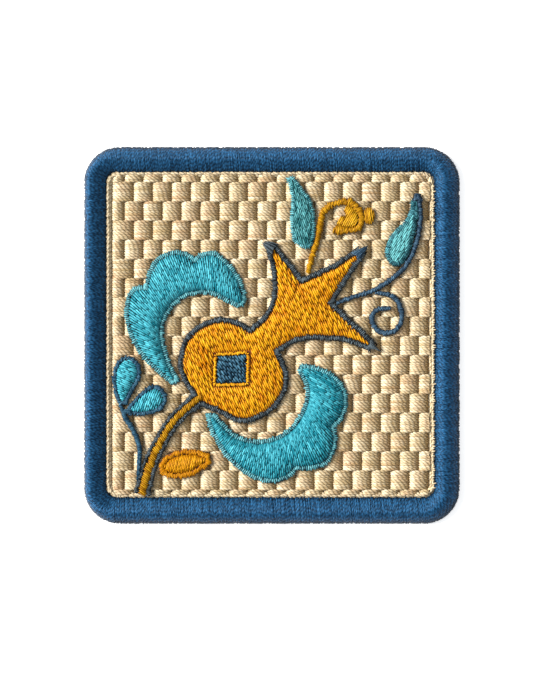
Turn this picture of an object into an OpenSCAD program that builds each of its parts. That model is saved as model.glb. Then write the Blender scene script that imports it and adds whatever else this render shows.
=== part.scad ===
// Embroidered patch: a square of cloth with a wrapped edge and a raised fruit sprig.
// It lies face up. X runs to the right, Y runs up the face, and Z comes out of it.

/* [Patch] */
// Side of the square, over the wrapped edge
patch_side = 76; // [76:1:90]
// Radius of the outer corners
corner_radius = 7; // [6.5:0.5:9]
// Thickness of the base cloth with its backing
base_height = 1.1; // [1:0.1:1.3]
// Thickness of the stitched ground over the base cloth
ground_height = 0.45; // [0.3:0.05:0.6]

/* [Wrapped edge] */
// Width of the wrapped edge, seen from the front
border_width = 5; // [4.5:0.1:5]
// Height of the wrapped edge from the back to its crest
border_height = 2.7; // [2.5:0.1:3]
// Thickness of the cloth edge that the wrapping holds
flange_height = 0.4; // [0.3:0.05:0.5]

/* [Stitched relief] */
// Height of the stitched fills over the ground
fill_height = 0.6; // [0.4:0.05:0.8]
// Height of the satin bars round the fills
bar_height = 0.8; // [0.5:0.05:1]
// Half the width of the dark bar round the fruit
outline_half = 0.55; // [0.45:0.05:0.55]
// Half the width of the rims round the leaves
leaf_rim_half = 0.5; // [0.4:0.05:0.5]
// Half the width of the rims round the buds
bud_rim_half = 0.42; // [0.35:0.01:0.42]
// Gap kept between neighbouring pieces
gap = 0.06; // [0.05:0.01:0.1]

/* [Hidden] */
$fn = 64;

// Tones of the threads
navy = [0.18, 0.28, 0.42];
slate = [0.20, 0.25, 0.34];
cream = [0.80, 0.70, 0.52];
gold = [0.84, 0.56, 0.10];
teal = [0.20, 0.60, 0.70];
deep_teal = [0.14, 0.46, 0.54];
linen = [0.62, 0.58, 0.50];

// Heights worked out from the sizes above
half_side = patch_side / 2;
inner_half = half_side - border_width;
corner_centre = half_side - corner_radius;
inner_radius = corner_radius - border_width;
ground_z = base_height + gap;
relief_z = ground_z + ground_height + gap;
flange_z = (base_height - flange_height) / 2;
// Wrapping left outside the cloth's edge
flange_inset = 1;
// Height at which the wrapped edge is widest
border_wall = 1.5;
// Width of the rounding under the wrapped edge
border_toe = 1;

// Columns of the knot tables
X = 0;
Y = 1;
SIDE = 2;
SHARP = 3;
// Steps along each stretch between two knots
bar_steps = 3;

// Section of a satin bar, as shares of its half width and height
BAR_SECTION = [[-1, 0], [-1, 0.45], [-0.55, 1], [0.55, 1], [1, 0.45], [1, 0]];

// Centre line of the stem, from the fruit down to the border: x, y, half width
STEM = [
    [-14.8, -12.9, 0.50],
    [-17.3, -14.9, 0.52],
    [-19.9, -17.6, 0.55],
    [-21.9, -20.7, 0.60],
    [-23.5, -23.7, 0.65],
    [-24.8, -27.0, 0.70],
    [-25.6, -29.8, 0.75],
    [-26.2, -32.3, 0.78]
];

// Centre line of the bar round the fruit, clockwise from the stem: x, y, sharp turn
FRUIT_EDGE = [
    // Left side and shoulder of the fruit
    [-15.6, -12.0, 1], [-17.7, -8.4, 0], [-18.4, -4.8, 0], [-16.3, 0.3, 0],
    [-11.0, 3.1, 0], [-6.9, 2.5, 0], [-4.3, 1.0, 1],
    // First point of the crown
    [-1.1, 3.9, 0], [0.6, 7.5, 0], [0.65, 12.0, 0], [0.0, 15.6, 0], [-0.9, 18.0, 1],
    [0.4, 18.3, 1], [2.6, 15.7, 0], [4.5, 13.2, 0], [6.1, 11.0, 1],
    // Second point of the crown
    [9.3, 12.5, 0], [13.4, 14.4, 0], [18.0, 17.75, 1],
    [18.8, 16.75, 1], [16.3, 13.2, 0], [14.1, 9.9, 0], [12.1, 6.5, 1],
    // Third point of the crown
    [14.2, 4.4, 0], [17.5, 1.3, 0], [20.9, -1.9, 1],
    [20.2, -2.85, 1], [15.6, -1.0, 0], [10.0, -0.45, 0], [5.2, -0.9, 0], [1.0, -3.2, 1],
    // Right side and foot of the fruit
    [2.6, -6.4, 0], [3.0, -9.6, 0], [1.3, -13.5, 0], [-2.2, -16.4, 0],
    [-6.3, -17.2, 0], [-10.4, -15.4, 0], [-14.1, -13.8, 1]
];

// Corners of the dark window in the fruit: x, y
SEED_WINDOW = [[-11.0, -4.2], [-4.95, -3.8], [-5.05, -9.6], [-11.2, -9.8]];

// Centre line of the upper leaf's rim, from its tail: x, y, sharp turn
UPPER_LEAF = [
    [-20.0, -9.6, 1], [-22.9, -7.1, 0], [-25.9, -4.1, 0], [-28.25, 0.0, 0], [-29.2, 4.0, 0],
    [-28.8, 7.7, 0], [-27.4, 9.4, 0], [-25.3, 9.6, 1],
    [-24.8, 11.8, 0], [-23.3, 14.9, 0], [-20.4, 16.6, 0], [-17.3, 16.4, 0], [-15.5, 15.1, 1],
    [-13.9, 16.3, 0], [-11.3, 16.4, 0], [-8.7, 14.3, 0], [-6.5, 11.1, 0], [-5.5, 7.9, 0],
    [-5.7, 6.5, 0], [-6.7, 6.1, 0],
    [-8.9, 7.1, 0], [-12.0, 8.6, 0], [-16.0, 8.5, 0], [-19.1, 6.9, 0], [-21.25, 4.2, 0],
    [-22.2, 1.0, 0], [-21.7, -2.4, 0], [-20.4, -6.4, 0], [-18.95, -9.1, 1]
];

// Centre line of the lower leaf's rim, from its tail: x, y, sharp turn
LOWER_LEAF = [
    [-12.8, -16.2, 1], [-12.3, -18.3, 0], [-10.4, -22.2, 0], [-7.6, -25.7, 0], [-4.3, -28.2, 0],
    [-0.2, -29.5, 0], [3.1, -28.7, 0], [5.0, -26.9, 1],
    [7.8, -26.8, 0], [10.8, -25.9, 0], [12.7, -23.0, 0], [12.9, -20.6, 0], [12.5, -18.4, 1],
    [14.3, -16.5, 0], [15.1, -12.8, 0], [13.6, -9.2, 0], [10.8, -7.3, 0], [7.6, -6.3, 0],
    [6.0, -6.5, 0], [6.0, -7.7, 0],
    [7.0, -9.4, 0], [7.4, -12.2, 0], [6.4, -15.5, 0], [4.4, -18.6, 0], [1.2, -20.8, 0],
    [-3.0, -21.6, 0], [-7.4, -20.3, 0], [-10.2, -17.6, 0], [-11.6, -16.1, 1]
];

// Centre line of the gold leaf's rim: x, y, sharp turn
GOLD_LEAF = [
    [-22.2, -26.8, 0], [-21.6, -27.9, 0], [-19.8, -28.4, 0], [-17.0, -28.2, 0], [-14.6, -27.1, 0],
    [-12.6, -25.7, 1], [-12.9, -24.4, 1],
    [-14.9, -23.7, 0], [-17.6, -23.6, 0], [-20.2, -24.3, 0], [-21.7, -25.5, 0]
];

// Centre lines of the buds' rims, from the tip of each: x, y, sharp turn
UPPER_BUD = [
    [-30.5, -13.8, 1], [-31.4, -11.4, 0], [-31.7, -8.4, 0], [-31.0, -5.8, 0], [-29.3, -4.6, 0],
    [-27.6, -5.2, 0], [-26.7, -6.9, 0], [-27.1, -9.0, 0], [-28.4, -11.4, 0], [-29.45, -13.6, 1]
];
LOWER_BUD = [
    [-28.7, -15.7, 1], [-28.7, -14.6, 1], [-26.3, -12.0, 0], [-23.6, -10.4, 0], [-21.9, -11.5, 0],
    [-21.5, -13.2, 0], [-22.8, -15.0, 0], [-25.8, -15.8, 0]
];

// Centre line of the stem that carries the buds: x, y, half width
BUD_STEM = [
    [-30.1, -15.2, 0.40], [-29.5, -16.7, 0.55], [-28.3, -18.5, 0.55], [-27.2, -20.8, 0.50],
    [-26.6, -23.0, 0.48], [-26.8, -25.2, 0.34]
];

// Outline of the drop at the top, clockwise from its tip: x, y, sharp turn
TOP_DROP = [
    [4.2, 32.1, 1], [5.0, 31.3, 0], [6.3, 29.4, 0], [8.0, 27.2, 0], [8.7, 24.0, 0], [8.6, 20.0, 0],
    [7.8, 17.8, 0], [6.0, 18.0, 0], [4.6, 19.3, 0], [4.0, 23.0, 0], [4.3, 27.0, 0], [3.9, 29.6, 0],
    [3.2, 31.7, 1]
];

// Centre line of the gold scroll, from the fruit's crown to its curled end: x, y, half width
GOLD_SCROLL = [
    [7.4, 13.1, 0.45], [8.1, 15.2, 0.52], [8.9, 17.7, 0.50], [9.5, 20.2, 0.50], [9.95, 22.8, 0.52],
    [10.4, 24.7, 0.48], [11.6, 26.0, 0.48], [13.6, 26.8, 0.50], [15.6, 27.0, 0.66],
    [17.2, 26.0, 0.58], [18.1, 24.6, 0.56], [18.2, 23.0, 0.54], [17.4, 21.6, 0.50],
    [15.9, 21.2, 0.46], [14.6, 21.3, 0.70], [13.5, 21.3, 0.90], [12.7, 21.3, 0.60]
];

// Outline of the stitched web inside the scroll: x, y, sharp turn
SCROLL_WEB = [
    [14.9, 26.0, 1], [16.3, 25.6, 0], [17.2, 24.6, 0], [17.4, 23.2, 0], [16.6, 22.2, 0],
    [14.9, 22.3, 0], [13.5, 22.7, 1], [14.0, 23.9, 1], [15.1, 23.5, 0], [15.3, 24.4, 0]
];

// Knot of thread on the outside of the scroll: centre and half sizes
knot_centre = [19.75, 24.1];
knot_half = [0.75, 1.5];
knot_sides = 20;

// Outline of the drop at the right, clockwise from its blunt top: x, y, sharp turn
RIGHT_DROP = [
    [28.4, 27.0, 1], [29.1, 26.9, 1], [29.3, 23.5, 0], [28.8, 20.3, 0], [27.8, 16.9, 0],
    [26.4, 14.6, 0], [25.0, 14.2, 0], [23.6, 15.4, 0], [23.3, 17.4, 0], [24.1, 19.6, 0],
    [25.6, 21.5, 0], [27.4, 23.3, 0], [28.2, 25.0, 0]
];

// Centre line of the vine up the right side: x, y, half width
RIGHT_VINE = [
    [13.5, 6.6, 0.45], [16.0, 7.6, 0.52], [20.0, 8.8, 0.52], [23.0, 10.4, 0.55], [25.6, 12.4, 0.55],
    [27.3, 14.2, 0.55], [28.6, 16.6, 0.56], [29.6, 19.9, 0.56], [30.15, 23.3, 0.60],
    [30.0, 26.2, 0.60], [29.6, 28.2, 0.70]
];

// Centre line of the scroll under the vine: x, y, half width
RIGHT_SCROLL = [
    [21.5, 8.5, 0.34], [23.2, 8.4, 0.46], [24.9, 7.6, 0.50], [26.0, 6.1, 0.50], [26.4, 4.2, 0.52],
    [26.1, 2.3, 0.50], [25.0, 1.0, 0.50], [23.3, 0.45, 0.50], [21.6, 0.95, 0.50],
    [20.6, 2.2, 0.50], [20.35, 3.7, 0.50], [21.0, 4.9, 0.50], [22.3, 5.4, 0.48], [23.9, 5.4, 0.40]
];

// Vector of length one along v
function unit(v) = v / norm(v);

// Place of a row
function spot(row) = [row[X], row[Y]];

// Row i of a table, counted round its ends
function row_at(rows, i) = rows[(i + len(rows)) % len(rows)];

// Knots of a closed or broken line with one half width: x, y, half width, sharp turn
function with_side(table, side) = [for (row = table) [row[0], row[1], side, row[2]]];

// Knots of a smooth line whose rows hold their own half widths
function smooth(table) = [for (row = table) [row[0], row[1], row[2], 0]];

// Direction of the line at knot i, on the stretch before it or after it
function heading(knots, i, leaving, closed) =
    let (
        here = spot(row_at(knots, i)),
        before = spot(row_at(knots, i - 1)),
        after = spot(row_at(knots, i + 1)),
        broken = row_at(knots, i)[SHARP] == 1 || (!closed && (i == 0 || i == len(knots) - 1))
    )
    broken ? (leaving ? unit(after - here) : unit(here - before)) : unit(after - before);

// Point at share t of the stretch that leaves knot i: x, y, half width
function between(knots, i, t, closed) =
    let (
        a = row_at(knots, i),
        b = row_at(knots, i + 1),
        reach = norm(spot(b) - spot(a)),
        u = heading(knots, i, true, closed) * reach,
        v = heading(knots, (i + 1) % len(knots), false, closed) * reach,
        place = spot(a) * (2 * t * t * t - 3 * t * t + 1) + u * (t * t * t - 2 * t * t + t)
            + spot(b) * (3 * t * t - 2 * t * t * t) + v * (t * t * t - t * t)
    )
    [place[X], place[Y], a[SIDE] + (b[SIDE] - a[SIDE]) * t];

// Points along the smooth line through the knots
function curve(knots, closed) =
    let (last = len(knots) - 1, count = closed ? len(knots) : last)
    concat(
        [for (i = [0 : count - 1]) for (s = [0 : bar_steps - 1])
            between(knots, i, s / bar_steps, closed)],
        closed ? [] : [[knots[last][X], knots[last][Y], knots[last][SIDE]]]
    );

// Sideways vector at point i, lengthened so that both sides keep their distance at a turn
function across(line, i, closed) =
    let (
        n = len(line),
        here = spot(line[i]),
        first = !closed && i == 0,
        last = !closed && i == n - 1,
        arriving = first ? spot(line[1]) - here : here - spot(row_at(line, i - 1)),
        leaving = last ? arriving : spot(row_at(line, i + 1)) - here,
        middle = unit(unit(arriving) + unit(leaving))
    )
    [-middle[Y], middle[X]] / max(unit(arriving) * middle, 0.5);

// Knots along one side of the stem, clear of its gold by the gap
function stem_side(side) =
    let (stem = smooth(STEM))
    [for (i = [1 : len(STEM) - 1])
        let (place = spot(stem[i])
            + side * across(stem, i, false) * (stem[i][SIDE] + gap + bud_rim_half))
        [place[X], place[Y], bud_rim_half, 0]];

// Table read from its last row to its first
function reversed(table) = [for (i = [len(table) - 1 : -1 : 0]) table[i]];

// Square with round corners, lying on the plane
module rounded_square(half, radius) {
    square([2 * half, 2 * (half - radius)], center = true);
    square([2 * (half - radius), 2 * half], center = true);
    for (sx = [-1, 1], sy = [-1, 1])
        translate([sx * (half - radius), sy * (half - radius)])
            circle(r = radius);
}

// Flat raised fill inside an outline, drawn in by inset
module fill(outline, inset, height) {
    translate([0, 0, relief_z])
        linear_extrude(height = height)
            if (inset > 0)
                offset(delta = -inset) polygon([for (p = outline) spot(p)]);
            else
                polygon([for (p = outline) spot(p)]);
}

// Rounded satin bar along a line of points: x, y, half width
module bar(line, closed, height) {
    n = len(line);
    m = len(BAR_SECTION);
    spans = closed ? n : n - 1;
    points = [for (i = [0 : n - 1]) for (s = BAR_SECTION)
        let (place = spot(line[i]) + across(line, i, closed) * line[i][SIDE] * s[0])
        [place[X], place[Y], relief_z + s[1] * height]];
    walls = [for (i = [0 : spans - 1]) for (j = [0 : m - 1])
        let (a = i * m + j, b = i * m + (j + 1) % m, c = ((i + 1) % n) * m + j,
            d = ((i + 1) % n) * m + (j + 1) % m)
        each [[a, b, d], [a, d, c]]];
    start = [for (j = [m - 1 : -1 : 0]) j];
    end = [for (j = [0 : m - 1]) (n - 1) * m + j];
    polyhedron(points, closed ? walls : concat(walls, [start, end]));
}

// Section of the wrapped edge, from the inner side at x = 0, with the slot for the cloth
function border_section() =
    let (
        crest = border_width / 2,
        rise = border_height - border_wall,
        slot_end = border_width - flange_inset
    )
    concat(
        [[0, 0], [0, flange_z - gap], [slot_end, flange_z - gap]],
        [[slot_end, flange_z + flange_height + gap], [0, flange_z + flange_height + gap]],
        [for (a = [180 : -15 : 0]) [crest + crest * cos(a), border_wall + rise * sin(a)]],
        [for (a = [-18 : -18 : -90])
            [border_width - border_toe + border_toe * cos(a), border_wall + border_wall * sin(a)]]
    );

module border() {
    color(navy)
        for (turn = [0 : 3])
            rotate([0, 0, 90 * turn]) {
                translate([corner_centre, corner_centre, 0])
                    rotate_extrude(angle = 90)
                        translate([inner_radius, 0])
                            polygon(border_section());
                translate([inner_half, corner_centre, 0])
                    rotate([90, 0, 0])
                        linear_extrude(height = 2 * corner_centre)
                            polygon(border_section());
            }
}

module base_cloth() {
    color(linen) {
        linear_extrude(height = base_height)
            rounded_square(inner_half - gap, inner_radius - gap);
        translate([0, 0, flange_z])
            linear_extrude(height = flange_height)
                rounded_square(half_side - flange_inset - gap, corner_radius - flange_inset - gap);
    }
}

module ground_fill() {
    color(cream)
        translate([0, 0, ground_z])
            linear_extrude(height = ground_height)
                rounded_square(inner_half - gap, inner_radius - gap);
}

module fruit() {
    edge = curve(with_side(FRUIT_EDGE, outline_half), true);
    color(gold)
        difference() {
            fill(edge, outline_half + gap, fill_height);
            translate([0, 0, relief_z - 1])
                linear_extrude(height = fill_height + 2)
                    offset(delta = gap) polygon(SEED_WINDOW);
        }
}

module fruit_outline() {
    edge = concat(
        reversed(stem_side(-1)),
        with_side(FRUIT_EDGE, outline_half),
        stem_side(1)
    );
    color(slate) bar(curve(edge, false), false, bar_height);
}

module seed_window() {
    color(slate) fill(SEED_WINDOW, 0, bar_height);
}

module stem() {
    color(gold) bar(curve(smooth(STEM), false), false, bar_height);
}

module leaf_fill(table, rim_half, tone) {
    color(tone) fill(curve(with_side(table, rim_half), true), rim_half + gap, fill_height);
}

module leaf_rim(table, rim_half, tone) {
    color(tone) bar(curve(with_side(table, rim_half), true), true, bar_height);
}

module upper_leaf() { leaf_fill(UPPER_LEAF, leaf_rim_half, teal); }
module upper_leaf_rim() { leaf_rim(UPPER_LEAF, leaf_rim_half, deep_teal); }
module lower_leaf() { leaf_fill(LOWER_LEAF, leaf_rim_half, teal); }
module lower_leaf_rim() { leaf_rim(LOWER_LEAF, leaf_rim_half, teal); }
module bud_upper() { leaf_fill(UPPER_BUD, bud_rim_half, teal); }
module bud_upper_rim() { leaf_rim(UPPER_BUD, bud_rim_half, slate); }
module bud_lower() { leaf_fill(LOWER_BUD, bud_rim_half, teal); }
module bud_lower_rim() { leaf_rim(LOWER_BUD, bud_rim_half, slate); }
module gold_leaf() { leaf_fill(GOLD_LEAF, leaf_rim_half, gold); }
module gold_leaf_rim() { leaf_rim(GOLD_LEAF, leaf_rim_half, gold); }

module bud_stem() {
    color(slate) bar(curve(smooth(BUD_STEM), false), false, bar_height);
}

module top_drop() {
    color(teal) fill(curve(with_side(TOP_DROP, 0), true), 0, fill_height);
}

module gold_scroll() {
    color(gold) bar(curve(smooth(GOLD_SCROLL), false), false, bar_height);
}

module scroll_web() {
    color(gold) fill(curve(with_side(SCROLL_WEB, 0), true), 0, fill_height);
}

module scroll_knot() {
    color(gold)
        fill([for (i = [0 : knot_sides - 1])
            let (a = 360 * i / knot_sides)
            knot_centre + [knot_half[X] * cos(a), knot_half[Y] * sin(a)]], 0, fill_height);
}

module right_drop() {
    color(teal) fill(curve(with_side(RIGHT_DROP, 0), true), 0, fill_height);
}

module right_vine() {
    color(slate) bar(curve(smooth(RIGHT_VINE), false), false, bar_height);
}

module right_scroll() {
    color(slate) bar(curve(smooth(RIGHT_SCROLL), false), false, bar_height);
}

base_cloth();
ground_fill();
border();
fruit();
fruit_outline();
seed_window();
stem();
upper_leaf();
upper_leaf_rim();
lower_leaf();
lower_leaf_rim();
bud_upper();
bud_upper_rim();
bud_lower();
bud_lower_rim();
bud_stem();
gold_leaf();
gold_leaf_rim();
top_drop();
gold_scroll();
scroll_web();
scroll_knot();
right_drop();
right_vine();
right_scroll();
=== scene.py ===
# %% [markdown]
# An embroidered clothing patch
#
# The patch is a square of cloth that a machine has covered with thread. A thick wrapped edge runs
# round it, a brick pattern of cream thread fills the ground, and a fruit sprig stands on that in
# raised stitches. Up close nothing on it is flat: every surface is made of threads laid side by
# side, and the light from the left picks out each one.
#
# This lesson builds it thread by thread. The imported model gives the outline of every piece, and
# the threads are laid along those outlines, so the embroidery sits where the solids say.

# %% Tools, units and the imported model
import math

import bmesh
import bpy
import numpy as np
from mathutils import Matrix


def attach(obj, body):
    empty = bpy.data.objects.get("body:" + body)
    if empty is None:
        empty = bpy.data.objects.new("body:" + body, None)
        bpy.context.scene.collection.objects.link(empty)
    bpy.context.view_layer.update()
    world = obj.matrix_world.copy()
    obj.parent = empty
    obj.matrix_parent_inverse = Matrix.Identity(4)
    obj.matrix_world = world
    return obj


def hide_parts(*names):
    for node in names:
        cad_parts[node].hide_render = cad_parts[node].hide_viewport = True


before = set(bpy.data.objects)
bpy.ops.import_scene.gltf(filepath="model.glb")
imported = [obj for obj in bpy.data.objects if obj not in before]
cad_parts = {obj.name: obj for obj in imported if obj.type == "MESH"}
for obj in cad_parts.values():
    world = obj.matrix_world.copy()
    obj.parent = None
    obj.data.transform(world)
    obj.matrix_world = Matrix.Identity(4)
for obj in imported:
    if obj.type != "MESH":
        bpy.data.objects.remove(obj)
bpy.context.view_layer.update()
MM = 0.001  # the tables below are in millimetres, Blender is in metres
rng = np.random.default_rng(11)  # every random draw comes from here, so each run is the same

# %% [markdown]
# The camera and the light
#
# The photograph looks straight down on the patch. A long lens high above does the same here, with
# the patch a little up and to the right of the middle of the picture. The light matters more than
# anything else: it comes in low from the left, about 28 degrees above the table, so each hump of
# thread has a bright left side and a dark right side. A pale sky fills the shadows a little. A
# lamp close by would do too, but a sun lights both sides of the patch at the same angle.

# %% Camera straight above
MM_PER_PIXEL = 0.2024
PICTURE_HIGH = 675  # pixels
PATCH_RIGHT, PATCH_UP = 1.3, 2.2  # pixels from the middle of the picture
LENS, FILM = 120, 36
WIDEST = 1.5  # the height at which the edge reaches furthest out
camera = bpy.data.objects.new("camera", bpy.data.cameras.new("camera"))
bpy.context.scene.collection.objects.link(camera)
camera.data.lens, camera.data.sensor_width = LENS, FILM
above = PICTURE_HIGH * MM_PER_PIXEL * LENS / FILM
aside = [-pixels * MM_PER_PIXEL * MM for pixels in (PATCH_RIGHT, PATCH_UP)]
camera.location = (*aside, (above + WIDEST) * MM)
camera.data.clip_start, camera.data.clip_end = 0.01, 10
bpy.context.scene.camera = camera
print("camera height", round(camera.location.z, 3), "m")

# %% Key light and sky
KEY_HEIGHT, KEY_TURN = 28, 17  # degrees above the table, and from the left towards the top
KEY_POWER, KEY_SPREAD = 7.1, 26  # watts per square metre, and degrees from side to side
SKY_POWER = 0.48
key = bpy.data.objects.new("key", bpy.data.lights.new("key", "SUN"))
bpy.context.scene.collection.objects.link(key)
key.data.energy, key.data.angle = KEY_POWER, math.radians(KEY_SPREAD)
key.data.color = (1, 0.975, 0.94)
key.rotation_euler = (0, math.radians(KEY_HEIGHT - 90), math.radians(-KEY_TURN))

world = bpy.data.worlds.new("studio")
bpy.context.scene.world = world
world.use_nodes = True
sky = world.node_tree.nodes["Background"]
sky.inputs["Color"].default_value = (0.93, 0.96, 1, 1)
sky.inputs["Strength"].default_value = SKY_POWER
bpy.context.scene.view_settings.view_transform = "Standard"
print("key light", KEY_HEIGHT, "degrees above the table")

# %% [markdown]
# Shader maths in Python
#
# A thread's look is a little arithmetic on where a point lies along and around it. Written as
# nodes it would be a long list of links. A small class wraps a socket, so that an expression such
# as `ridge * 0.5 + 0.5` adds its own Math nodes.


# %% A socket that does arithmetic
class Wire:
    """One output of a node, to be used in expressions."""

    def __init__(self, look, socket):
        self.look, self.socket = look, socket

    def _math(self, operation, a, b=None):
        given = {0: a} if b is None else {0: a, 1: b}
        return self.look.node("ShaderNodeMath", given, operation=operation)

    def __add__(self, other):
        return self._math("ADD", self, other)

    def __sub__(self, other):
        return self._math("SUBTRACT", self, other)

    def __rsub__(self, other):
        return self._math("SUBTRACT", other, self)

    def __mul__(self, other):
        return self._math("MULTIPLY", self, other)

    def __truediv__(self, other):
        return self._math("DIVIDE", self, other)

    def __rtruediv__(self, other):
        return self._math("DIVIDE", other, self)

    def sine(self):
        return self._math("SINE", self)

    def size(self):
        return self._math("ABSOLUTE", self)

    def within(self):
        """The value, held between 0 and 1."""
        return self.look.node("ShaderNodeClamp", {0: self})

    __radd__, __rmul__ = __add__, __mul__


# %% A material that is being made
class Look:
    """A material, the method that adds a node to it, and short forms for common nodes."""

    def __init__(self, name):
        self.material = bpy.data.materials.new(name)
        self.material.use_nodes = True
        self.tree = self.material.node_tree
        self.tree.nodes.clear()

    def node(self, kind, sockets=(), out=0, **settings):
        """A node of that kind: its settings first, then the values or links of its sockets."""
        made = self.tree.nodes.new(kind)
        for name, value in settings.items():
            setattr(made, name, value)
        for name, value in dict(sockets).items():
            if isinstance(value, Wire):
                self.tree.links.new(value.socket, made.inputs[name])
            else:
                made.inputs[name].default_value = value
        return Wire(self, made.outputs[out]) if made.outputs else made

    def mix(self, factor, a, b):
        """Colour a where the factor is 0, b where it is 1."""
        return self.node("ShaderNodeMix", {0: factor, 6: a, 7: b}, out=2, data_type="RGBA")

    def read(self, name):
        return self.node("ShaderNodeAttribute", out="Fac", attribute_name=name)

    def x_and_y(self, vector):
        x = self.node("ShaderNodeSeparateXYZ", {0: vector})
        return x, Wire(self, x.socket.node.outputs["Y"])

    def bump(self, height, millimetres):
        sockets = {"Strength": 1.0, "Distance": millimetres * MM, "Height": height}
        return self.node("ShaderNodeBump", sockets)

    def finish(self, **sockets):
        """Closes the material with one Principled shader."""
        named = {socket.replace("_", " "): value for socket, value in sockets.items()}
        shader = self.node("ShaderNodeBsdfPrincipled", named)
        self.node("ShaderNodeOutputMaterial", {"Surface": shader})
        return self.material


def rgb(red, green, blue):
    """A colour as it looks on a screen, 0 to 255, turned into Blender's linear light."""
    def line(c):
        c /= 255
        return c / 12.92 if c <= 0.04045 else ((c + 0.055) / 1.055) ** 2.4
    return (line(red), line(green), line(blue), 1)


# %% [markdown]
# The floor
#
# The patch lies on plain white. A white world alone would show no shadow under it, so the floor is
# one large square with a faint grain. It glows a little, so it stays white and the shadow stays
# soft, and it lies a hair under the patch, so the two never share a plane.

# %% Floor
FLOOR_HALF = 1.5  # metres to each side
FLOOR_GAP = 0.02  # millimetres under the patch


def in_scene(name, mesh, *materials):
    """The mesh as an object of the scene, with smooth faces and those materials."""
    mesh.shade_smooth()
    for material in materials:
        mesh.materials.append(material)
    made = bpy.data.objects.new(name, mesh)
    bpy.context.scene.collection.objects.link(made)
    return made


def new_object(name, bm, *materials):
    """A bmesh, finished as an object."""
    mesh = bpy.data.meshes.new(name)
    bm.to_mesh(mesh)
    bm.free()
    return in_scene(name, mesh, *materials)


floor_look = Look("pale_floor")
floor_grain = floor_look.node("ShaderNodeTexNoise", {"Scale": 40.0, "Detail": 3.0})
floor_paint = floor_look.finish(
    Base_Color=floor_look.mix(floor_grain, rgb(246, 246, 246), rgb(250, 250, 250)),
    Roughness=0.9,
    Emission_Color=(1, 1, 1, 1),
    Emission_Strength=0.6,
)
bm = bmesh.new()
bmesh.ops.create_grid(bm, x_segments=1, y_segments=1, size=FLOOR_HALF)
bmesh.ops.translate(bm, verts=bm.verts, vec=(0, 0, -FLOOR_GAP * MM))
floor = new_object("floor", bm, floor_paint)
print("floor:", 2 * FLOOR_HALF, "m square")

# %% [markdown]
# The thread's finish
#
# Embroidery thread is two plies of fine shiny filament, twisted together. Up close the plies show
# as slanting ridges, and the filaments as fine lines along them. An image of thread would blur as
# soon as the eye comes near, so nodes draw it. The threads carry their own map: across it runs the
# distance along the thread in millimetres, and up it the turn round the thread. A sine of both is
# the ply twist. It feeds the bump, puts painted shade in the groove between the plies and a little
# painted highlight on their ridges. Three colours are mixed: the deep one is painted shade, in the
# grooves, along the sides where one thread meets the next and where a stitch dives into the cloth;
# then the body; and the pale one on some stitches, because no two lie at the same tension, which
# in the ground is also a painted highlight where a stitch rises towards the light.

# %% Thread material
PLY = 1.07  # millimetres along a thread from one ply's ridge to the next


def tinted(colour, share):
    """White with a share of the colour's hue."""
    return tuple(1 - share + share * c / max(colour[:3]) for c in colour[:3]) + (1,)


def thread_look(name, deep, body, pale, tinge=None, shine=0.3, ply=PLY, slant=3, groove=0.2,
                relief=0.07, mottle=0.9, seam=0.7):
    """A dyed thread: the deep colour is painted shade in its grooves, along its sides and where each
    stitch asks for it; then the body, and pale where it lies slack. tinge is a second body colour
    that comes and goes in patches. slant is how many ridges a turn round the thread crosses, and
    groove how much painted shade lies in the grooves between them. mottle is how much the paleness
    varies along the thread, and seam how much painted shade it gets, here and there, along the
    sides where it meets the next thread."""
    deep, body, pale = (rgb(*colour) for colour in (deep, body, pale))
    look = Look(name)
    along, around = look.x_and_y(look.node("ShaderNodeUVMap", uv_map="thread"))
    tone, painted_shading = look.read("tone"), look.read("painted_shading")
    ridge = ((along / ply - around * slant) * math.pi).sine().size()
    fine = look.node("ShaderNodeCombineXYZ", {0: along * 0.9, 1: around * 24 + along * 3.0, 2: 0.0})
    filaments = look.node("ShaderNodeTexNoise", {"Vector": fine, "Scale": 1.0, "Detail": 2.0})
    broad = look.node("ShaderNodeCombineXYZ", {0: along * 0.9, 1: tone * 40, 2: 0.0})
    uneven = look.node("ShaderNodeTexNoise", {"Vector": broad, "Scale": 1.0, "Detail": 1.0})
    # beside marks the sides where a thread meets the next. shade is painted shade from the ply grooves,
    # those sides and the stitch's own painted shade, with random fine fibres; light is random paleness, with
    # a little painted highlight on the ply ridges.
    beside = (((around - 0.5).size() * 4 - 0.35) * 1.6).within() * ((0.62 - uneven) * 5).within()
    shade = ((1 - ridge) * groove + painted_shading * 0.8 + beside * seam + (0.5 - filaments) * 0.5).within()
    light = ((tone * 0.9 - 0.15 + (uneven - 0.5) * mottle + ridge * 0.15) * (1 - painted_shading)).within()
    if tinge:
        here = look.node("ShaderNodeTexCoord", out="Object")
        patches = look.node("ShaderNodeTexNoise", {"Vector": here, "Scale": 330.0, "Detail": 1.0})
        body = look.mix(((patches - 0.42) * 4).within(), body, rgb(*tinge))
    return look.finish(
        Base_Color=look.mix(shade, look.mix(light, body, pale), deep),
        Roughness=(0.45 + (0.5 - filaments) * 0.2).within(),
        Normal=look.bump(ridge + filaments * 0.25, relief),
        Specular_IOR_Level=shine,
        Specular_Tint=tinted(pale, 0.65),
        Sheen_Weight=0.12,
        Sheen_Roughness=0.35,
        Sheen_Tint=tinted(pale, 0.7),
    )


def under_look(name, *colour):
    """The felted padding, dark as painted shade where it shows between the stitches."""
    look, tone = Look(name), rgb(*colour)
    fuzz = look.node("ShaderNodeTexNoise", {"Scale": 9000.0, "Detail": 2.0})
    dark = tuple(c * 0.45 for c in tone[:3]) + (1,)
    colour, bump = look.mix(fuzz, dark, tone), look.bump(fuzz, 0.03)
    return look.finish(Base_Color=colour, Roughness=0.85, Normal=bump)


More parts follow.
